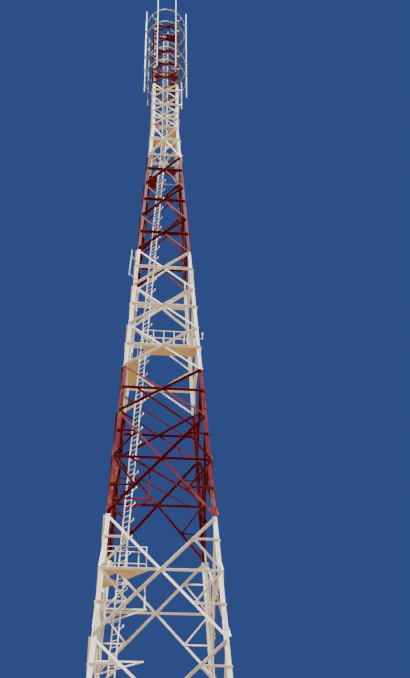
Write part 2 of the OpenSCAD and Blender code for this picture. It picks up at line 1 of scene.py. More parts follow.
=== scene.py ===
# %% [markdown]
# # A lattice tower for radio antennas
# Four leg angles lean together for most of the tower's height and then rise straight through a narrow neck.
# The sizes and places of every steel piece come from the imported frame, so this script only has to dress
# them: paint, zinc, rust, bolts and the light of a studio. Everything is in metres, at half the real size.

# %% Load the frame
import math
import random

import bmesh
import bpy
from mathutils import Matrix, Vector
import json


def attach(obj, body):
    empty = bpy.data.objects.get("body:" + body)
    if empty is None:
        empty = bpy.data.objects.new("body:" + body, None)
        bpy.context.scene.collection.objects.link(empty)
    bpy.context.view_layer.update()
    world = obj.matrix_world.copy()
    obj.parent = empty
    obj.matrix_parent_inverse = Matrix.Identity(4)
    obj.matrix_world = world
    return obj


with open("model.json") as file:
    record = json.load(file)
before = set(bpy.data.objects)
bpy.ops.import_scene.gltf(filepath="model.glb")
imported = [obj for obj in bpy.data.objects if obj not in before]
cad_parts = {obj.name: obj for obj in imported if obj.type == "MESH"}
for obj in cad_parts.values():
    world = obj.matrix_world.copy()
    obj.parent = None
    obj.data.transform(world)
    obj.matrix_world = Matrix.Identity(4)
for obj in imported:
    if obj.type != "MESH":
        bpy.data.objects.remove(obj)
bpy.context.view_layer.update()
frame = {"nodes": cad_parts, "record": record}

# %% [markdown]
# The frame's origin is under the front left foot, which is handy for bolting the tower down but not for
# drawing it. The lattice is symmetrical about its upright axis, so one helper turns real metres measured
# from that axis into model metres, and all later cells use it.

# %% Sizes of the real tower
SCALE = 2.0
BASE_WIDTH = 7.12
NECK_WIDTH = 1.72
FOOT_FROM_HEEL = 0.27
AXIS = (BASE_WIDTH / 2 - FOOT_FROM_HEEL) / SCALE
TALL_PANELS = 4
SHORT_PANELS = 7
LEVELS = [6.0 * i for i in range(TALL_PANELS + 1)]
LEVELS += [24.0 + 3.0 * i for i in range(1, SHORT_PANELS + 1)]
NECK_Z = LEVELS[-1] + 3.3
LEVELS += [NECK_Z + 1.5 * i for i in range(9)]
FIRST_NECK = TALL_PANELS + SHORT_PANELS + 1
SLOPE = (BASE_WIDTH - NECK_WIDTH) / 2 / NECK_Z


def half(z):
    """Half the tower's width at a real height."""
    return BASE_WIDTH / 2 - SLOPE * z if z < NECK_Z else NECK_WIDTH / 2


def place(x, y, z):
    """A point in real metres about the tower's axis, in the model's frame."""
    return Vector((AXIS + x / SCALE, AXIS + y / SCALE, z / SCALE))


print("leg tops at", place(0, 0, LEVELS[-1]).z, "m")

# %% [markdown]
# Shader maths reads best as ordinary sums. A small class wraps one socket and gives it the operators, and
# each expression adds the Math nodes that it needs.

# %% A value that is written as sums


class Wire:
    """One value in a node tree, ready for arithmetic."""

    def __init__(self, nodes, socket):
        self.nodes, self.socket = nodes, socket

    def math(self, operation, *values):
        return self.nodes.node("ShaderNodeMath", {"operation": operation}, (self, *values))

    def __add__(self, other):
        return self.math("ADD", other)

    def __sub__(self, other):
        return self.math("SUBTRACT", other)

    def __rsub__(self, other):
        return self.nodes.node("ShaderNodeMath", {"operation": "SUBTRACT"}, (other, self))

    def __mul__(self, other):
        return self.math("MULTIPLY", other)

    def above(self, edge, soft):
        """0 below the edge and 1 above it, with a soft step."""
        values = {"Value": self, "From Min": edge - soft, "From Max": edge + soft}
        return self.nodes.node("ShaderNodeMapRange", {"interpolation_type": "SMOOTHSTEP"}, values)

    __radd__ = __add__
    __rmul__ = __mul__


# %% [markdown]
# Every other node comes from one method, which takes the node's type, its settings and what goes into its
# sockets. It serves the paints here and the light of the surround further down. Colours go through Mix nodes,
# because a Math node would turn them grey.

# %% A node tree that is built one call at a time


class Nodes:
    """The node tree of a material or of the surround."""

    def __init__(self, owner):
        owner.use_nodes = True
        self.tree = owner.node_tree

    def node(self, kind, settings=None, values=(), output=0):
        """A new node: first its settings, then the values or links of its sockets."""
        made = self.tree.nodes.new(kind)
        for key, value in (settings or {}).items():
            if key == "stops":
                self.stops(made.color_ramp, value)
            else:
                setattr(made, key, value)
        pairs = values.items() if isinstance(values, dict) else enumerate(values)
        for key, value in pairs:
            self.feed(made.inputs[key], value)
        return Wire(self, made.outputs[output])

    def stops(self, ramp, stops):
        while len(ramp.elements) < len(stops):
            ramp.elements.new(0.5)
        for element, (at, colour) in zip(ramp.elements, stops):
            element.position, element.color = at, (*colour, 1.0)

    def feed(self, socket, value):
        """Links a wire to a socket, or sets the socket to a plain value."""
        if isinstance(value, Wire):
            self.tree.links.new(value.socket, socket)
        elif isinstance(value, tuple) and len(value) == 3 and socket.type == "RGBA":
            socket.default_value = (*value, 1.0)
        else:
            socket.default_value = value

    def blend(self, share, low, high):
        """A colour between two colours."""
        made = self.tree.nodes.new("ShaderNodeMix")
        made.data_type = "RGBA"
        colours = [socket for socket in made.inputs if socket.type == "RGBA"]
        self.feed(made.inputs[0], share)
        self.feed(colours[0], low)
        self.feed(colours[1], high)
        return Wire(self, [socket for socket in made.outputs if socket.type == "RGBA"][0])


# %% [markdown]
# A paint is a material that knows the three things on which weather works: where a point is, how high it is,
# and which way the surface looks there. Noise is given by the size of its grains in metres, so chips and runs
# keep the right scale on any piece.

# %% A paint


class Paint(Nodes):
    """A material, with what its wear depends on."""

    def __init__(self, name):
        self.material = bpy.data.materials.new(name)
        super().__init__(self.material)
        self.shader = self.tree.nodes["Principled BSDF"]
        self.place = self.node("ShaderNodeTexCoord", output="Object")

    def noise(self, size, stretch=(1, 1, 1), detail=4.0, rough=0.6):
        """Noise whose grains are about size metres, stretched along the axes."""
        grains = {"Vector": self.place, "Scale": tuple(1 / share for share in stretch)}
        scaled = self.node("ShaderNodeMapping", {}, grains)
        values = {"Vector": scaled, "Scale": 1 / size, "Detail": detail, "Roughness": rough}
        return self.node("ShaderNodeTexNoise", {}, values)

    def height(self):
        return self.node("ShaderNodeSeparateXYZ", {}, (self.place,), output="Z")

    def facing(self):
        """Which way the surface looks: 1 up, 0 sideways, -1 down."""
        normal = self.node("ShaderNodeNewGeometry", output="Normal")
        return self.node("ShaderNodeSeparateXYZ", {}, (normal,), output="Z")

    def bump(self, height, depth, strength):
        values = {"Height": height, "Distance": depth, "Strength": strength}
        self.feed(self.shader.inputs["Normal"], self.node("ShaderNodeBump", {}, values))

    def finish(self, **inputs):
        for name, value in inputs.items():
            socket = name.replace("_", " ").title().replace("Ior", "IOR")
            self.feed(self.shader.inputs[socket], value)
        return self.material


# %% [markdown]
# Aviation marking is painted on in equal bands, red and white in turn. The bands are heights of the real
# tower, and the painter's edge wanders by a few millimetres.

# %% Red and white bands
BANDS = [9.16, 18.0, 27.0, 36.0, 45.0, 52.8]
EDGE_WANDER, EDGE_SOFT = 0.01, 0.004
RED = (0.074, 0.0008, 0.006)
FADED_RED = (0.100, 0.003, 0.011)
WHITE = (0.69, 0.68, 0.65)
DUSTY_WHITE = (0.55, 0.47, 0.37)


def white_share(paint):
    """1 in the white bands and 0 in the red ones."""
    wavy = paint.height() + (paint.noise(0.05) - 0.5) * EDGE_WANDER
    share = 0.0
    for number, edge in enumerate(BANDS):
        step = wavy.above(edge / SCALE, EDGE_SOFT)
        share = step + share if number % 2 == 0 else share - step
    return share


print(len(BANDS) + 1, "bands, the lowest one red up to", BANDS[0], "m")

# %% [markdown]
# On site the paint fades and chalks, dust settles on the faces that look up, and rust bleeds from chips and
# runs down. All of it depends only on height, direction and noise, so one material can serve every angle and
# plate of the lattice. The bolts get the same paint with less hold, because a spanner has been on them.

# %% Weathered paint
RUST = (0.13, 0.045, 0.018)
STAIN = (0.30, 0.16, 0.08)
DUST = (0.40, 0.28, 0.17)
PATCH_SIZE, CHIP_SIZE, GRAIN_SIZE = 1.1, 0.022, 0.005
RUN_SIZE, RUN_STRETCH = 0.016, (1, 1, 16)
PAINT_DEPTH = 0.0006


def weathered(paint, coat, rough, hold, relief=0.0):
    """Adds chips, rust runs and dust to a coat of paint; a higher hold leaves more paint on."""
    patches = paint.noise(PATCH_SIZE, detail=2.0) - 0.5
    chips = paint.noise(CHIP_SIZE, detail=6.0, rough=0.7) + patches * 0.30
    runs = paint.noise(RUN_SIZE, stretch=RUN_STRETCH, detail=3.0) + patches * 0.45
    bare = chips.above(hold, 0.012)
    stained = runs.above(hold - 0.02, 0.06)
    dusty = paint.facing().above(0.75, 0.25) * paint.noise(0.25).above(0.45, 0.2)
    colour = paint.blend(dusty * 0.36, coat, DUST)
    colour = paint.blend(stained * 0.4, colour, STAIN)
    colour = paint.blend(bare * 0.9, colour, RUST)
    paint.bump(paint.noise(GRAIN_SIZE, detail=2.0) * 0.35 - bare + relief, PAINT_DEPTH, 0.6)
    return paint.finish(base_color=colour, roughness=bare * 0.25 + rough, specular_ior_level=0.05)


def faded_red(paint):
    return paint.blend(paint.noise(0.6, detail=3.0).above(0.5, 0.2), RED, FADED_RED)


def banded_paint(name, hold):
    paint = Paint(name)
    red = faded_red(paint)
    streaks = paint.noise(0.35, stretch=(1, 1, 4)).above(0.55, 0.18)
    white = paint.blend(streaks * 0.7, WHITE, DUSTY_WHITE)
    coat = paint.blend(white_share(paint), red, white)
    return weathered(paint, coat, 0.55, hold)


paint_banded = banded_paint("banded_paint", 0.66)
paint_bolts = banded_paint("bolt_paint", 0.56)
print("banded paint with", len(paint_banded.node_tree.nodes), "nodes")

# %% [markdown]
# The ladder was painted white from top to bottom, and hands and boots keep its rungs cleaner than the rest.
# Its white has a slight blue, which is painted skylight.
# The rings and pipes are bare galvanised steel, which is zinc in large soft flakes of slightly different
# grey.

# %% Ladder paint and zinc
# The ladder's white is white paint tinted blue as painted skylight.
LADDER_WHITE_AND_SKY, LADDER_GREY = (0.94, 0.96, 0.99), (0.82, 0.82, 0.82)
ZINC, PALE_ZINC, DARK_FLAKE = (0.19, 0.25, 0.32), (0.25, 0.31, 0.38), (0.15, 0.18, 0.23)
FLAKES_PER_METRE = 45.0


def ladder_paint():
    paint = Paint("ladder_paint")
    cloudy = paint.noise(0.2).above(0.6, 0.2)
    return weathered(paint, paint.blend(cloudy * 0.5, LADDER_WHITE_AND_SKY, LADDER_GREY), 0.42, 0.70)


def zinc():
    paint = Paint("galvanised_steel")
    cells = {"Vector": paint.place, "Scale": FLAKES_PER_METRE}
    flakes = paint.node("ShaderNodeTexVoronoi", {}, cells, output="Color")
    grey = paint.blend(paint.noise(0.3).above(0.5, 0.2), ZINC, PALE_ZINC)
    spangle = paint.node("ShaderNodeSeparateColor", {}, (flakes,))
    colour = paint.blend(spangle * 0.25, grey, DARK_FLAKE)
    paint.bump(paint.noise(0.006), 0.0005, 0.4)
    return paint.finish(base_color=colour, roughness=spangle * 0.12 + 0.42, metallic=0.35)


paint_ladder = ladder_paint()
paint_zinc = zinc()
print("ladder paint and zinc made")

# %% [markdown]
# The decks are chequer plate, whose raised bars give boots a grip. The bars are too shallow to model, so they
# are drawn by cosines in the bump. The lower decks are painted tan all over, which is painted warm light, as
# the sunlit ground throws it onto their undersides. The higher ones are red like the lattice, apart from the
# one at the foot of the neck.

# %% Deck plate
# Painted light: this tan stands in for warm light bounced up from the ground onto the decks.
DECK_TAN_AND_BOUNCE = (0.37, 0.25, 0.135)
PALE_TAN_AND_BOUNCE = (0.46, 0.35, 0.21)
BAR_PITCH = 0.030
RED_DECKS_FROM = 43.3
TAN_DECK_FROM, TAN_DECK_TO = 47.5, BANDS[-1]


def chequer(paint):
    """Raised bars on the upper side of a deck, in turn along one diagonal and along the other."""
    x, y = (paint.node("ShaderNodeSeparateXYZ", {}, (paint.place,), output=axis) for axis in "XY")
    along, across = ((way * (2 * math.pi / BAR_PITCH)).math("COSINE") for way in (x + y, x - y))
    bars = across.above(0.75, 0.1) * along.above(-0.1, 0.1)
    bars = bars + (0.0 - along).above(0.75, 0.1) * (0.0 - across).above(-0.1, 0.1)
    return bars * paint.facing().above(0.5, 0.1)


def deck_paint():
    paint = Paint("deck_paint")
    # Painted warm ground light, as a tan coat on the lower decks.
    tan_and_bounce = paint.blend(paint.noise(0.5).above(0.5, 0.25), DECK_TAN_AND_BOUNCE, PALE_TAN_AND_BOUNCE)
    red = faded_red(paint)
    higher, neck_foot, above_it = (paint.height().above(level / SCALE, 0.01)
                                   for level in (RED_DECKS_FROM, TAN_DECK_FROM, TAN_DECK_TO))
    coat = paint.blend(higher - (neck_foot - above_it), tan_and_bounce, red)
    return weathered(paint, coat, 0.7, 0.62, chequer(paint) * 2.0)


paint_deck = deck_paint()
print("deck plate with", len(paint_deck.node_tree.nodes), "nodes")

# %% [markdown]
# Each node of the frame names a finish. The ladder's frames and the cable tray were painted over together
# with the lattice, so they take the banded paint.

# %% Dress the frame's pieces
finishes = {"banded_paint": paint_banded, "deck_steel": paint_deck, "ladder_paint": paint_ladder,
            "galvanised_steel": paint_zinc}
slots = {part["node"]: part["material_slot"] for part in frame["record"]["subparts"]}
PAINTED_TOO = ("ladder_frames", "cable_run")
for name, piece in frame["nodes"].items():
    piece.data.materials.clear()
    piece.data.materials.append(paint_banded if name in PAINTED_TOO else finishes[slots[name]])
print("dressed", len(slots), "pieces")

# %% [markdown]
# A real tower is held together by some two thousand bolts. Placing them by hand would be hopeless, and
# placing them by formula alone would leave some in the air, so each one is dropped onto the steel: a ray is
# cast towards the face from outside and another from inside, and the bolt is made only where both meet flat
# steel. All of the frame's triangles go into one search tree for that.

# %% Find the steel
from mathutils.bvhtree import BVHTree

# How squarely steel has to face the ray, as a cosine, and how level a seat has to be, in model metres.
FACES_THE_RAY = 0.995
LEVEL_WITHIN = 0.0005

corners, triangles, owners = [], [], []
for name, piece in frame["nodes"].items():
    piece.data.calc_loop_triangles()
    first = len(corners)
    corners += [vertex.co.copy() for vertex in piece.data.vertices]
    triangles += [tuple(first + v for v in tri.vertices) for tri in piece.data.loop_triangles]
    owners += [name] * len(piece.data.loop_triangles)
steel = BVHTree.FromPolygons(corners, triangles, all_triangles=True)
print("steel has", len(triangles), "triangles")


def touch(start, direction, reach=0.4):
    """Where a ray first meets the steel: the point, its normal and the piece's name."""
    point, normal, index, _ = steel.ray_cast(start, direction, reach)
    return (point, normal, owners[index]) if point else None


def flat_seat(start, direction, radius):
    """A point on flat steel that faces the ray, with room for a washer, or None."""
    seat = touch(start, direction)
    if not seat or seat[1].dot(direction) > -FACES_THE_RAY:
        return None
    aside = direction.orthogonal().normalized()
    for quarter in range(4):
        around = Matrix.Rotation(quarter * math.pi / 2, 3, direction) @ aside
        near = touch(start + around * radius, direction)
        if not near or abs((near[0] - seat[0]).dot(direction)) > LEVEL_WITHIN:
            return None
    return seat


# %% [markdown]
# Small turned and bent things are rings of points with a skin between them. A stack has its rings one above
# the other, which suits washers, heads and nuts.

# %% Rings and skins


def circle(sides):
    """Cosine and sine of equal steps round a circle."""
    turns = [2 * math.pi * n / sides for n in range(sides)]
    return [(math.cos(turn), math.sin(turn)) for turn in turns]


def skin(sides, rings):
    """Faces between rings of points, with a face over either end."""
    faces = []
    for low in range(0, (rings - 1) * sides, sides):
        high = low + sides
        faces += [(low + n, low + (n + 1) % sides, high + (n + 1) % sides, high + n) for n in range(sides)]
    faces += [tuple(reversed(range(sides))), tuple((rings - 1) * sides + n for n in range(sides))]
    return faces


def stack(sides, rings):
    """Points and faces of a closed solid from rings of (radius, height)."""
    points = [(radius * x, radius * y, height) for radius, height in rings for x, y in circle(sides)]
    return points, skin(sides, len(rings))


def join(*solids):
    points, faces = [], []
    for more_points, more_faces in solids:
        faces += [tuple(len(points) + n for n in face) for face in more_faces]
        points += more_points
    return points, faces


# %% [markdown]
# One bolt is a washer and a six-sided head with its top edge broken, and on the far side a washer, a nut and
# the end of the thread. The shapes are made once, for a shank of radius 1.

# %% Shapes of the bolts
WASHER = stack(12, [(1.85, 0.0), (1.85, 0.26), (1.75, 0.32)])
HEAD = stack(6, [(1.72, 0.30), (1.72, 1.40), (1.50, 1.58)])
NUT = stack(6, [(1.50, 0.30), (1.72, 0.46), (1.72, 1.72), (1.50, 1.88)])
THREAD = stack(8, [(0.96, 1.80), (0.96, 2.60), (0.80, 2.78)])
BOLT_HEAD = join(WASHER, HEAD)
BOLT_END = join(WASHER, NUT, THREAD)
print("a bolt has", len(BOLT_HEAD[1]) + len(BOLT_END[1]), "faces")

# %% [markdown]
# Thousands of separate objects would slow Blender down, so small solids of one kind are heaped into one mesh.
# Each heap rides on the tower. Sizes are given in real metres.

# %% Heaps of small solids


class Heap:
    """Many small solids gathered into one mesh."""

    def __init__(self):
        self.points, self.faces, self.count = [], [], 0

    def add(self, solid, spot=Matrix.Identity(4)):
        first = len(self.points)
        self.points += [spot @ Vector(point) for point in solid[0]]
        self.faces += [tuple(first + n for n in face) for face in solid[1]]
        self.count += 1

    def make(self, name, material, slot, smooth=False):
        mesh = bpy.data.meshes.new(name)
        mesh.from_pydata([tuple(point) for point in self.points], [], self.faces)
        mesh.validate()
        if smooth:
            mesh.shade_smooth()
        mesh.materials.append(material)
        piece = bpy.data.objects.new(name, mesh)
        bpy.context.collection.objects.link(piece)
        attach(piece, "root")
        print(name, "has", self.count, "solids and", len(self.faces), "faces")


def standing(point, axis, size, turn=0.0):
    """The place of a solid whose own Z goes along axis, and whose radius 1 is size in real metres."""
    turned = axis.to_track_quat("Z", "Y").to_matrix().to_4x4() @ Matrix.Rotation(turn, 4, "Z")
    return Matrix.Translation(point) @ turned @ Matrix.Scale(size / SCALE, 4)


# %% [markdown]
# Bolts are set out on a face of the tower as a fabricator's drawing would: across, up the slope, and out. The
# tall lower part and the neck have faces of their own slope, so the helper takes both.

# %% The faces of the tower
FACES = ("front", "right", "back", "left")


def on_face(face, across, up, out, neck=False):
    """A point of one face in the model's frame, from real metres in the plane of the leg corners."""
    slope = 0.0 if neck else SLOPE
    length = math.hypot(1, slope)
    base = (NECK_WIDTH if neck else BASE_WIDTH) / 2
    x, y, z = across, (slope * up - out) / length - base, (up + slope * out) / length
    for _ in range(face):
        x, y = -y, x
    return place(x, y, z)


def face_out(face, neck=False):
    """The direction in which a face looks."""
    return (on_face(face, 0, 0, 1, neck) - on_face(face, 0, 0, 0, neck)).normalized()


print("the front looks along", tuple(round(v, 3) for v in face_out(0)))

# %% [markdown]
# A bolt is set only where both sides of the face are flat and the steel between them is about two pieces
# thick. The rays start a little way off the face, in model metres. The nut is turned a little against the
# head, as it is on a real bolt.

# %% One bolt through the steel
RAY_START = 0.10
WASHER_ROOM = 1.8
THINNEST, THICKEST = 0.025, 0.09
NUT_TURN = 0.4


def bolt(heap, face, spot, neck, radius):
    """Bolts one spot of a face through, if the steel is right there."""
    out = face_out(face, neck)
    middle = on_face(face, spot[0], spot[1], 0, neck)
    room = radius / SCALE * WASHER_ROOM
    outside = flat_seat(middle + out * RAY_START, -out, room)
    inside = flat_seat(middle - out * RAY_START, out, room)
    if not outside or not inside:
        return
    grip = (outside[0] - inside[0]).length * SCALE
    if THINNEST < grip < THICKEST:
        turn = random.random()
        heap.add(BOLT_HEAD, standing(outside[0], out, radius, turn))
        heap.add(BOLT_END, standing(inside[0], -out, radius, turn + NUT_TURN))


# %% [markdown]
# Bolts stand in rows along the bars, and a row begins where its bar ends. The same clearance rule as in the
# frame gives that place: a bar's square end stops a little short of the band that another bar covers. All
# sizes here are real metres.

# %% Where the bars end
BAR_GAP = 0.015
HEEL_BAND = 0.010
LEG_FLANGES = [0.215, 0.200, 0.190, 0.180, 0.170]
TALL_BAR, SHORT_BAR, NECK_BAR = 0.12, 0.10, 0.07
STRUT = 0.090
REDUNDANT = 0.075
GROUND_LEVEL = 0.25
SPLICE_RISE, SPLICE_HALF, SPLICE_GAP = 0.85, 0.45, 0.06
ALONG_SLOPE = math.hypot(1, SLOPE)


def node_level(number):
    """The real height at which bars meet on the legs; the lowest ones meet just above the base plates."""
    return LEVELS[number] if number else GROUND_LEVEL


def crossing(panel):
    """The real height at which a panel's diagonals cross."""
    z0, z1 = node_level(panel), node_level(panel + 1)
    low, high = half(z0), half(z1)
    return z0 + (z1 - z0) * low / (low + high)


def joint(panel):
    """The real height of a leg joint, between a panel's foot and its horizontal."""
    return min(LEVELS[panel] + SPLICE_RISE, crossing(panel) - SPLICE_HALF - STRUT - SPLICE_GAP)


JOINTS = [0.0] + [joint(panel) for panel in (2, 4, 7, 10)]


def leg_flange(z):
    return LEG_FLANGES[sum(1 for level in JOINTS if level <= z) - 1]


def up_slope(z, neck=False):
    return z if neck else z * ALONG_SLOPE


def corner(side, z, neck=False):
    """A point of a leg's corner line, in the plane of a face."""
    return Vector((side * half(z), up_slope(z, neck)))


def leg_way(side, neck=False):
    return Vector((0, 1)) if neck else Vector((-side * SLOPE, ALONG_SLOPE)).normalized()


def clear_by(way, other, half_band, width):
    """How far along a bar its square end clears a band of another bar."""
    across = abs(way.x * other.y - way.y * other.x)
    return (half_band + BAR_GAP + width / 2 * abs(way.dot(other))) / across


print("leg joints at", [round(z, 2) for z in JOINTS[1:]])

# %% [markdown]
# Each diagonal ends on a leg with up to three bolts in a row and each horizontal with two. Two more go
# through the middle of the X, which in the narrow neck stand on one spot, and the horizontal has two small
# ones on either side of it. The small bars of the tall panels have two at either end. Most rows lie a little
# beside their bar's middle line, in the flange.

# %% Rows of bolts
BAR_BOLT, SMALL_BOLT = 0.011, 0.008
LEG_START, LEG_PITCH = 0.04, 0.07
SMALL_START, SMALL_PITCH = 0.03, 0.06
BESIDE = 0.005
LOW_HALF_WAY, HIGH_HALF_WAY = 0.5, 0.57


class Panel:
    """One panel of one face, with the rows of bolts at the ends of its bars."""

    def __init__(self, heap, face, number):
        self.heap, self.face = heap, face
        self.tall, self.neck = number < TALL_PANELS, number >= FIRST_NECK
        self.width = TALL_BAR if self.tall else NECK_BAR if self.neck else SHORT_BAR
        self.radius = SMALL_BOLT if self.neck else BAR_BOLT
        self.low, self.high, self.level = node_level(number), node_level(number + 1), crossing(number)
        self.middle = Vector((0, up_slope(self.level, self.neck)))

    def row(self, start, way, first, pitch, count, beside, radius):
        """A row of bolts along a bar, beside its middle line."""
        left = Vector((-way.y, way.x))
        for n in range(count):
            bolt(self.heap, self.face, start + way * (first + pitch * n) + left * beside, self.neck, radius)

    def diagonals(self, side):
        for outer in (True, False):
            rising = (side < 0) == outer
            start = corner(side, self.low if rising else self.high, self.neck)
            end = corner(-side, self.high if rising else self.low, self.neck)
            way = (end - start).normalized()
            band = HEEL_BAND if outer else leg_flange(start.y) - self.width
            gap = clear_by(way, leg_way(side, self.neck), band, self.width)
            self.row(start, way, gap + LEG_START, LEG_PITCH, 3, BESIDE * side, self.radius)

    def horizontal(self, side):
        inward = Vector((-side, 0))
        gap = clear_by(inward, leg_way(side, self.neck), HEEL_BAND, STRUT)
        start = corner(side, self.level, self.neck)
        self.row(start, inward, gap + LEG_START, LEG_PITCH, 2, BESIDE * side, self.radius)
        rise = (corner(1, self.high, self.neck) - corner(-1, self.low, self.neck)).normalized()
        gap = clear_by(inward, rise, self.width / 2, STRUT)
        self.row(self.middle, -inward, gap + SMALL_START, SMALL_PITCH, 2, BESIDE * side, self.radius * 0.8)
        off_middle = 0.0 if self.neck else SMALL_START
        self.row(self.middle, inward, off_middle, SMALL_PITCH, 1, 0, self.radius)

    def small_bars(self, side):
        """From the middle of a half diagonal, one bar goes to the leg and one to the horizontal's end."""
        for level, share in ((self.low, LOW_HALF_WAY), (self.high, HIGH_HALF_WAY)):
            half_way = self.middle + (corner(side, level) - self.middle) * share
            diagonal = (half_way - self.middle).normalized()
            on_leg = corner(side, half_way.y / ALONG_SLOPE)
            on_horizontal = corner(side, self.level)
            ends = ((on_leg, leg_way(side), HEEL_BAND), (on_horizontal, Vector((1, 0)), STRUT / 2))
            for end, other, band in ends:
                way = (end - half_way).normalized()
                gap = clear_by(way, diagonal, self.width / 2, REDUNDANT)
                self.row(half_way, way, gap + SMALL_START, SMALL_PITCH, 2, -BESIDE * side, SMALL_BOLT)
                gap = clear_by(-way, other, band, REDUNDANT)
                self.row(end, -way, gap + SMALL_START, SMALL_PITCH, 2, BESIDE * side, SMALL_BOLT)


# %% [markdown]
# Every face gets its bolts in one heap. Each head is turned by chance, as a spanner leaves it, and the seed
# is fixed, so the tower is the same each time.

# %% Bolt the bars of every face
random.seed(7)

for face, face_name in enumerate(FACES):
    heap = Heap()
    for number in range(len(LEVELS) - 1):
        panel = Panel(heap, face, number)
        for side in (-1, 1):
            panel.diagonals(side)
            panel.horizontal(side)
            if panel.tall:
                panel.small_bars(side)
    heap.make(face_name + "_bolts", paint_bolts, "banded_paint")

# %% [markdown]
# The lengths of a leg meet under splice plates, with two rows of larger bolts on each flange. These rows are
# what shows as dotted strips on the legs from the ground.

# %% Bolt the leg joints
SPLICE_BOLT, SPLICE_PITCH, SPLICE_INSET = 0.012, 0.085, 0.02
LEG_ROOT, LEG_MARGINS = 0.020, 0.035
ROW_SHARES, BOLTS_EACH_WAY = (0.30, 0.72), 5

splice_heap = Heap()
for face in range(4):
    for level in JOINTS[1:]:
        flange = leg_flange(level)
        for side in (-1, 1):
            way = leg_way(side)
            inward = Vector((-side * way.y, side * way.x))
            start = corner(side, level)
            for share in ROW_SHARES:
                across = LEG_ROOT + (flange - LEG_MARGINS) * share
                for n in (*range(-BOLTS_EACH_WAY, 0), *range(1, BOLTS_EACH_WAY + 1)):
                    along = n * SPLICE_PITCH - math.copysign(SPLICE_INSET, n)
                    bolt(splice_heap, face, start + inward * across + way * along, False, SPLICE_BOLT)
splice_heap.make("splice_bolts", paint_bolts, "banded_paint")

# %% [markdown]
# Round things follow a path: the bent rod of a clamp, a conduit, a weld bead. One helper sweeps a small
# circle along the points of a path that lies in a plane, which is all that these shapes need. Flat plates are
# another shape that comes back often, lying on some surface.

# %% Rods and slabs


def rod(path, normal, radius, sides=8):
    """Points and faces of a round rod along a path that lies in the plane of normal."""
    points = []
    for number, point in enumerate(path):
        ahead = path[min(number + 1, len(path) - 1)] - path[max(number - 1, 0)]
        aside = normal.cross(ahead).normalized()
        points += [point + (aside * x + normal * y) * (radius / SCALE) for x, y in circle(sides)]
    return points, skin(sides, len(path))


def slab(length, width, height, edge):
    """A flat plate that stands on its underside and has a broken top edge."""
    low = [(x * length / 2, y * width / 2) for x, y in ((1, 1), (-1, 1), (-1, -1), (1, -1))]
    top = [(x - math.copysign(edge, x), y - math.copysign(edge, y)) for x, y in low]
    rings = ((low, 0.0), (low, height - edge), (top, height))
    return [(x / SCALE, y / SCALE, z / SCALE) for ring, z in rings for x, y in ring], skin(4, len(rings))


def lying(point, width_way, up):
    """The place of a slab whose width goes along one direction and whose top looks along another."""
    turned = Matrix((width_way.cross(up).normalized(), width_way, up)).transposed()
    return Matrix.Translation(point) @ turned.to_4x4()


# %% [markdown]
# The antenna pipes are clamped to the rings by bent rods. One rod goes round the pipe above the ring and one
# below, and both are drawn up by nuts against a plate on the ring's inner side. The free ends of the pipes
# are closed with pressed caps.

# %% Pipe clamps and caps
RINGS = [54.6, 56.1, 59.2, 60.7]
RING_RADIUS, RING_TUBE, PIPE = 1.450, 0.038, 0.045
COLLAR = 0.012
PIPE_LINE = RING_RADIUS + RING_TUBE + PIPE + COLLAR
PIPES = [(-25, 53.9, 62.0), (25, 53.9, 62.0), (-71, 52.3, 61.9), (73, 52.1, 62.1), (-129, 53.1, 61.1),
         (142, 53.7, 61.8)]
ROD, ROD_RISE, ROD_END, ROD_STEPS = 0.008, 0.056, 0.035, 14
PLATE_THICK, PLATE_OFF = 0.012, 0.014
CLAMP_PLATE = slab(0.170, 0.150, PLATE_THICK, 0.002)
PLATE_X = -(PIPE_LINE - RING_RADIUS) - RING_TUBE - PLATE_OFF
REACH = PIPE + ROD
CAP = stack(24, [(1.07, -0.9), (1.07, 0.0), (0.88, 0.22), (0.45, 0.34)])
UP = Vector((0, 0, 1))


def clamp(heap, ring, out, along):
    """The clamp that holds one pipe; ring is where the pipe's middle line passes the ring's height."""
    free_end = out * (PLATE_X - ROD_END)
    bend = [math.pi * n / ROD_STEPS for n in range(ROD_STEPS + 1)]
    for above in (-1, 1):
        level = ring + UP * (above * ROD_RISE) / SCALE
        path = [level + (free_end + along * REACH) / SCALE]
        path += [level + (out * math.sin(turn) + along * math.cos(turn)) * REACH / SCALE for turn in bend]
        path += [level + (free_end - along * REACH) / SCALE]
        heap.add(rod(path, UP, ROD))
        for side in (-1, 1):
            seat = level + (out * PLATE_X + along * side * REACH) / SCALE
            heap.add(join(WASHER, NUT), standing(seat, -out, ROD))
    heap.add(CLAMP_PLATE, lying(ring + out * (PLATE_X + PLATE_THICK) / SCALE, along, -out))


clamp_heap, cap_heap = Heap(), Heap()
for degrees, low, high in PIPES:
    turn = math.radians(degrees - 90)
    out, along = Vector((math.cos(turn), math.sin(turn), 0)), Vector((-math.sin(turn), math.cos(turn), 0))
    foot = place(out.x * PIPE_LINE, out.y * PIPE_LINE, 0)
    for z in RINGS:
        clamp(clamp_heap, foot + UP * z / SCALE, out, along)
    for z, axis in ((low, -UP), (high, UP)):
        cap_heap.add(CAP, standing(foot + UP * z / SCALE, axis, PIPE))
clamp_heap.make("pipe_clamps", paint_zinc, "galvanised_steel")
cap_heap.make("pipe_caps", paint_zinc, "galvanised_steel")

# %% [markdown]
# The ladder's rungs are welded between its stringers. A weld shows as a small collar of metal at either end
# of a rung. The frame's own mesh holds the rungs, so a walk along its edges sorts the points into rungs, and
# each rung's ends give the places of its welds.

# %% Find the rungs


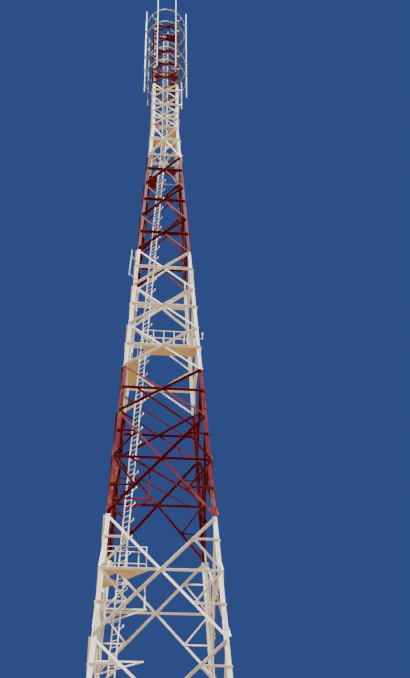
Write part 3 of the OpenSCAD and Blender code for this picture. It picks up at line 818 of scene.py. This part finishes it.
def islands(mesh):
    """The separate solids of a mesh, each as a list of its points."""
    work = bmesh.new()
    work.from_mesh(mesh)
    bmesh.ops.remove_doubles(work, verts=work.verts, dist=1e-6)
    found, seen_already = [], set()
    for vertex in work.verts:
        if vertex in seen_already:
            continue
        group, waiting = [], [vertex]
        seen_already.add(vertex)
        while waiting:
            here = waiting.pop()
            group.append(here.co.copy())
            for edge in here.link_edges:
                near = edge.other_vert(here)
                if near not in seen_already:
                    seen_already.add(near)
                    waiting.append(near)
        found.append(group)
    work.free()
    return found


def middle_of(points):
    return sum(points, Vector()) / len(points)


def rung_ends(points):
    """The middles of a rung's two ends, from the left stringer to the right one."""
    across, middle = Vector((1, -1, 0)).normalized(), middle_of(points)
    return [middle_of([p for p in points if (p - middle).dot(across) * side > 0]) for side in (-1, 1)]


rungs = sorted(islands(frame["nodes"]["ladder_rungs"].data), key=lambda points: middle_of(points).z)
print("the ladder has", len(rungs), "rungs")

# %% [markdown]
# The stringers come in lengths, and small plates with four bolts join them on their outer sides, one pair at
# every twentieth rung.

# %% Rung welds and ladder joints
WELD = stack(14, [(1.42, 0.0), (1.38, 0.12), (1.12, 0.38), (1.0, 0.42)])
RUNG = 0.012
FIRST_JOINT, JOINT_EVERY, JOINT_LIFT = 10, 20, 0.15
JOINT_THICK = 0.008
JOINT_PLATE = slab(0.050, 0.240, JOINT_THICK, 0.002)
JOINT_BOLT, JOINT_BOLTS = 0.007, (-0.085, -0.035, 0.035, 0.085)

weld_heap, joint_heap = Heap(), Heap()
for number, rung in enumerate(rungs):
    low, high = rung_ends(rung)
    way = (high - low).normalized()
    weld_heap.add(WELD, standing(low, way, RUNG))
    weld_heap.add(WELD, standing(high, -way, RUNG))
    if number % JOINT_EVERY == FIRST_JOINT:
        for end, out in ((low, -way), (high, way)):
            seat = end + (out * RUNG + UP * JOINT_LIFT) / SCALE
            joint_heap.add(JOINT_PLATE, lying(seat, UP, out))
            for rise in JOINT_BOLTS:
                spot = seat + (UP * rise + out * JOINT_THICK) / SCALE
                joint_heap.add(BOLT_HEAD, standing(spot, out, JOINT_BOLT))
weld_heap.make("rung_welds", paint_ladder, "ladder_paint")
joint_heap.make("ladder_joints", paint_ladder, "ladder_paint")

# %% [markdown]
# The foot of every rail post is a small square plate with a bolt at each corner. The decks lie on the shelves
# of the horizontals, so their heights follow from the panels, and the posts stand in lines along the edges.

# %% Post feet
DECK_THICK = 0.03
SHELF_IN, SHELF_SUNK, SEAT_GAP = 0.055, 0.001, 0.0002
TALL_WEB, SHORT_WEB = 0.148, 0.128
RAIL_TOP, RAIL_TUBE, RAIL_ROOM = 1.13, 0.024, 0.010
REST_POSTS = (0.66, 1.18, 1.70, 2.05)
WORK_START, WORK_END, WORK_BAYS = -1.08, 0.26, 5
WALK_WIDTH, WALK_EDGE = 0.80, 0.04
ARM_START, ARM_PITCH, ARM_WIDTH = -0.46, 0.60, 0.56
FOOT_BOLT, FOOT_BOLT_OFF, FOOT_THICK = 0.005, 0.038, 0.008
POST_FOOT = slab(0.110, 0.110, FOOT_THICK, 0.002)


def on_shelf(panel):
    """The real height of a deck's underside, which lies on the shelves of a panel's horizontals."""
    return crossing(panel) + (STRUT / 2 - SHELF_SUNK - SHELF_IN * SLOPE) / ALONG_SLOPE + SEAT_GAP


rest_z, work_z = on_shelf(2) + DECK_THICK, on_shelf(5) + DECK_THICK
rest_h, work_h = half(rest_z - DECK_THICK), half(work_z - DECK_THICK)
lean = SLOPE * RAIL_TOP + RAIL_TUBE + RAIL_ROOM
rest_in, work_in = TALL_WEB + lean, SHORT_WEB + lean
bay = (work_h - WORK_END - WORK_START) / WORK_BAYS
posts = [(-rest_h + x, -rest_h + rest_in, rest_z) for x in REST_POSTS]
posts += [(y, x, z) for x, y, z in posts]
posts += [(WORK_START + bay * n, -work_h + work_in, work_z) for n in range(WORK_BAYS + 1)]
inner_edge = -work_h + SHELF_IN + WALK_WIDTH - WALK_EDGE
posts += [(WORK_START + bay * n, inner_edge, work_z) for n in range(1, WORK_BAYS + 1)]
for x in (work_in, SHELF_IN + ARM_WIDTH):
    posts += [(-work_h + x, ARM_START + ARM_PITCH * n, work_z) for n in range(4)]

feet_heap = Heap()
for post in posts:
    spot = place(*post)
    feet_heap.add(POST_FOOT, Matrix.Translation(spot))
    for side_x in (-FOOT_BOLT_OFF, FOOT_BOLT_OFF):
        for side_y in (-FOOT_BOLT_OFF, FOOT_BOLT_OFF):
            seat = spot + Vector((side_x, side_y, FOOT_THICK)) / SCALE
            feet_heap.add(BOLT_HEAD, standing(seat, UP, FOOT_BOLT))
feet_heap.make("post_feet", paint_ladder, "ladder_paint")

# %% [markdown]
# At the rest platform the rails carry on past their first posts and bend round the corner in front of the
# leg, so that nobody slips out beside the ladder. Each is one pipe with a smooth quarter bend.

# %% Corner rails
REST_RAILS = (0.30, 0.88, RAIL_TOP)
CORNER_RAIL = 0.0192
INTO_POST = 0.010
BEND, BEND_STEPS = 0.12, 12

corner_heap = Heap()
rail_end = REST_POSTS[0] - INTO_POST
turns = [math.pi / 2 * n / BEND_STEPS for n in range(BEND_STEPS + 1)]
plan = [(rail_end, rest_in)]
plan += [(rest_in + BEND * (1 - math.sin(turn)), rest_in + BEND * (1 - math.cos(turn))) for turn in turns]
plan += [(rest_in, rail_end)]
for height in REST_RAILS:
    path = [place(x - rest_h, y - rest_h, rest_z + height) for x, y in plan]
    corner_heap.add(rod(path, UP, CORNER_RAIL, 16))
corner_heap.make("corner_rails", paint_ladder, "ladder_paint", smooth=True)

# %% [markdown]
# The decks themselves are held by bolts along the two edges that lie on the tower's horizontals. As before, a
# ray finds the deck, so nothing floats over a well or past an edge.

# %% Deck bolts
UPPER_SHELF = on_shelf(10)
EDGE_INSET, FIRST_BOLT, BOLT_PITCH = 0.085, 0.2, 0.25
RAY_ABOVE_DECK, DECK_BOLT, DECK_BOLT_ROOM = 0.1, 0.008, 0.018
DECK_EDGES = [(rest_z, -rest_h, "rest_platform", 2.3), (work_z, -work_h, "work_platform", 3.9),
              (UPPER_SHELF + DECK_THICK, -half(UPPER_SHELF), "upper_platform", 2.4)]

deck_heap = Heap()
for z, edge, name, length in DECK_EDGES:
    for n in range(int(length / BOLT_PITCH)):
        along = FIRST_BOLT + n * BOLT_PITCH
        for x, y in ((edge + along, edge + EDGE_INSET), (edge + EDGE_INSET, edge + along)):
            seat = flat_seat(place(x, y, z + RAY_ABOVE_DECK), -UP, DECK_BOLT_ROOM / SCALE)
            if seat and seat[2] == name:
                deck_heap.add(BOLT_HEAD, standing(seat[0], UP, DECK_BOLT))
deck_heap.make("deck_bolts", paint_deck, "deck_steel")

# %% [markdown]
# The flat tray inside the right side carries three conduits. The tray's own corners give its line, so the
# conduits follow it however it leans.

# %% Conduits on the tray
CONDUIT, CONDUIT_RISE, CONDUIT_END = 0.0155, 0.016, 0.05
CONDUITS = (-0.038, 0.0, 0.038)
TRAY_SURFACE = 0.0125
END_SLICE = 0.05

tray = [vertex.co for vertex in frame["nodes"]["cable_run"].data.vertices]
lowest, highest = min(p.z for p in tray), max(p.z for p in tray)
foot_end = middle_of([p for p in tray if p.z < lowest + END_SLICE])
top_end = middle_of([p for p in tray if p.z > highest - END_SLICE])
length = (top_end - foot_end).length
line = (top_end - foot_end).normalized()
into_tower = -face_out(1)
sideways = line.cross(into_tower).normalized()
surface = foot_end + into_tower * TRAY_SURFACE / SCALE
conduit_heap = Heap()
for offset in CONDUITS:
    start = surface + (sideways * offset + into_tower * CONDUIT_RISE) / SCALE
    ends = [start + line * CONDUIT_END, start + line * (length - CONDUIT_END)]
    conduit_heap.add(rod(ends, sideways, CONDUIT, 10))
conduit_heap.make("conduits", paint_banded, "banded_paint", smooth=True)

# %% [markdown]
# Saddle straps hold the conduits down on the tray. Each one is bent from flat steel, so two small legs and a
# bridge over the pipes give its shape.

# %% Conduit straps
STRAP_PITCH, FIRST_STRAP = 0.6, 0.3
STRAP_LEG_OFF, BRIDGE_RISE = 0.057, 0.032
STRAP_LEG = slab(0.010, 0.030, 0.034, 0.001)
STRAP_BRIDGE = slab(0.124, 0.030, 0.006, 0.001)

strap_heap = Heap()
for n in range(int(length / STRAP_PITCH)):
    spot = surface + line * (FIRST_STRAP + STRAP_PITCH * n)
    for offset in (-STRAP_LEG_OFF, STRAP_LEG_OFF):
        strap_heap.add(STRAP_LEG, lying(spot + sideways * offset / SCALE, line, into_tower))
    strap_heap.add(STRAP_BRIDGE, lying(spot + into_tower * BRIDGE_RISE / SCALE, line, into_tower))
strap_heap.make("conduit_straps", paint_banded, "banded_paint")

# %% [markdown]
# The lamp at the front right leg is a small can on a bent pipe. Its lid overhangs like a hat so that rain
# drips off, and a cast elbow and a tapered neck join the pipes. Four bolts hold its plate to the leg.

# %% Lamp fittings
LAMP_Z, LAMP_REACH, LAMP_HEAD, LAMP_PIPE = 29.3, 0.200, 0.045, 0.020
LAMP_FROM_HEEL, LAMP_BACKING = 0.120, 0.040
LID_RISE, TAPER_RISE, ELBOW_BACK = 0.380, 0.250, 0.045
LAMP_BOLT, LAMP_BOLT_OFF, LAMP_PLATE = 0.005, 0.028, 0.008
RIGHT = Vector((1, 0, 0))
LID = stack(32, [(1.02, -0.50), (1.12, -0.50), (1.14, -0.42), (1.08, 0.10), (0.92, 0.34), (0.62, 0.52),
                 (0.30, 0.60), (0.26, 0.70), (0.12, 0.74)])
TAPER = stack(24, [(1.00, 0.00), (0.98, 0.10), (0.62, 0.55), (0.56, 0.95), (0.50, 1.00)])
ELBOW = stack(24, [(1.05, -1.60), (1.32, -1.45), (1.32, 1.45), (1.05, 1.60)])

lamp_leg = Vector((half(LAMP_Z) + LAMP_BACKING * SLOPE + SEAT_GAP, LAMP_FROM_HEEL - half(LAMP_Z), LAMP_Z))
lamp_line = lamp_leg + RIGHT * LAMP_REACH
fittings = [(LID, lamp_line + UP * LID_RISE, UP, LAMP_HEAD)]
fittings += [(TAPER, lamp_line + UP * TAPER_RISE, -UP, LAMP_HEAD)]
fittings += [(ELBOW, lamp_line, UP, LAMP_PIPE)]
fittings += [(ELBOW, lamp_line - RIGHT * ELBOW_BACK, RIGHT, LAMP_PIPE * 0.9)]
for y in (-LAMP_BOLT_OFF, LAMP_BOLT_OFF):
    for z in (-LAMP_BOLT_OFF, LAMP_BOLT_OFF):
        fittings.append((BOLT_HEAD, lamp_leg + Vector((LAMP_PLATE, y, z)), RIGHT, LAMP_BOLT))
lamp_heap = Heap()
for solid, spot, axis, size in fittings:
    lamp_heap.add(solid, standing(place(*spot), axis, size))
lamp_heap.make("lamp_fittings", paint_banded, "banded_paint")

# %% [markdown]
# Each leg is welded to its base plate. A weld bead is a slightly uneven rod of metal in the corner between
# the two, so its path wanders by a millimetre. The rod's normal is half a unit long, which makes it flatter
# than it is wide.

# %% Weld beads at the feet
BASE_PLATE = 0.04
BEAD, BEAD_STEPS, WANDER = 0.010, 24, 0.001
BEAD_UP, BEAD_OUT = 0.041, 0.001

bead_heap = Heap()
for face in range(4):
    half_up = on_face(face, 0, 1, 0) - on_face(face, 0, 0, 0)
    for side in (-1, 1):
        path = []
        for n in range(BEAD_STEPS + 1):
            across = side * (half(BASE_PLATE) - LEG_FLANGES[0] * n / BEAD_STEPS)
            rise = up_slope(BEAD_UP) + random.uniform(-1, 1) * WANDER
            path.append(on_face(face, across, rise, BEAD_OUT))
        bead_heap.add(rod(path, half_up, BEAD, 6))
bead_heap.make("foot_welds", paint_banded, "banded_paint")

# %% [markdown]
# The floor is a plain pale disc, warm like dry ground. It is small, so that from the side it ends behind the
# red foot of the tower, and the white band above stands against the backdrop.

# %% Floor
FLOOR_RADIUS, FLOOR_DROP = 7, 0.002
DRY_GROUND = (0.48, 0.36, 0.23)

bpy.ops.mesh.primitive_circle_add(vertices=96, radius=FLOOR_RADIUS, fill_type="NGON",
                                  location=(AXIS, AXIS, -FLOOR_DROP))
floor = bpy.context.object
floor.name = "floor"
floor.data.materials.append(Paint("floor_paint").finish(base_color=DRY_GROUND, roughness=0.9))
print("floor", 2 * FLOOR_RADIUS, "m across")

# %% [markdown]
# The soft surround carries on what the floor begins: it is sandy below the horizon, where it lights the
# undersides of decks and bars, and pale blue above. Behind the white bars it shows as a plain slate blue,
# because white on pale grey would be lost.

# %% Surround
GROUND_LIGHT = (1.55, 1.16, 0.76)
SKY_LIGHT = (0.25, 0.30, 0.38)
BACKDROP = (0.036, 0.070, 0.24)
HAZE = 0.12

surround = bpy.data.worlds.new("surround")
light = Nodes(surround)
looked_at = light.node("ShaderNodeTexCoord", output="Generated")
rise = light.node("ShaderNodeSeparateXYZ", {}, (looked_at,), output="Z")
horizon = light.node("ShaderNodeValToRGB", {"stops": [(0.0, GROUND_LIGHT), (HAZE, SKY_LIGHT)]}, (rise,))
soft = light.node("ShaderNodeBackground", {}, {"Color": horizon})
plain = light.node("ShaderNodeBackground", {}, {"Color": BACKDROP})
seen = light.node("ShaderNodeLightPath", output="Is Camera Ray")
either = light.node("ShaderNodeMixShader", {}, (seen, soft, plain))
light.feed(light.tree.nodes["World Output"].inputs["Surface"], either)
bpy.context.scene.world = surround
print("surround with", len(light.tree.nodes), "nodes")

# %% [markdown]
# One high sun stands in front and a little to the left, which lights the ladder and the faces of the bars but
# not their undersides, as in the photograph. Its shadows have slightly soft edges.

# %% Sun
SUNSHINE = Vector((0.10, 0.42, -0.90))

sun = bpy.data.objects.new("sun", bpy.data.lights.new("sun", "SUN"))
sun.data.energy = 13.0
sun.data.color = (1.0, 0.95, 0.87)
sun.data.angle = math.radians(3)
sun.rotation_euler = SUNSHINE.to_track_quat("-Z", "Y").to_euler()
bpy.context.collection.objects.link(sun)
print("sun strength", sun.data.energy)

# %% [markdown]
# The photograph was taken from close to the tower, looking up. The camera's place and lens come from
# matching leg corners and panel points, so the lens is shifted as the picture's crop shifted it.

# %% Camera
IMAGE = (410, 678)
FOCAL_PIXELS = 755.1
CENTRE_PIXEL = (189.8, 525.5)
EYE = place(-1.40, -33.17, 1.55)
YAW, PITCH, ROLL = math.radians(5.02), math.radians(27.45), math.radians(-0.43)

lens = bpy.data.cameras.new("camera")
lens.sensor_fit = "VERTICAL"
lens.sensor_height = 36.0
lens.lens = FOCAL_PIXELS / IMAGE[1] * lens.sensor_height
lens.shift_x = (IMAGE[0] / 2 - CENTRE_PIXEL[0]) / IMAGE[1]
lens.shift_y = (CENTRE_PIXEL[1] - IMAGE[1] / 2) / IMAGE[1]
lens.clip_end = 500.0
camera = bpy.data.objects.new("camera", lens)
ahead = Vector((math.sin(YAW) * math.cos(PITCH), math.cos(YAW) * math.cos(PITCH), math.sin(PITCH)))
right = Vector((math.cos(YAW), -math.sin(YAW), 0))
up = right.cross(ahead)
tilted_right = right * math.cos(ROLL) + up * math.sin(ROLL)
tilted_up = up * math.cos(ROLL) - right * math.sin(ROLL)
turn = Matrix((tilted_right, tilted_up, -ahead)).transposed()
camera.matrix_world = Matrix.Translation(EYE) @ turn.to_4x4()
bpy.context.collection.objects.link(camera)
bpy.context.scene.camera = camera
print("camera at", tuple(round(v, 3) for v in EYE))

# %% [markdown]
# The last cell only imports json again.

# %% Last cell
import json
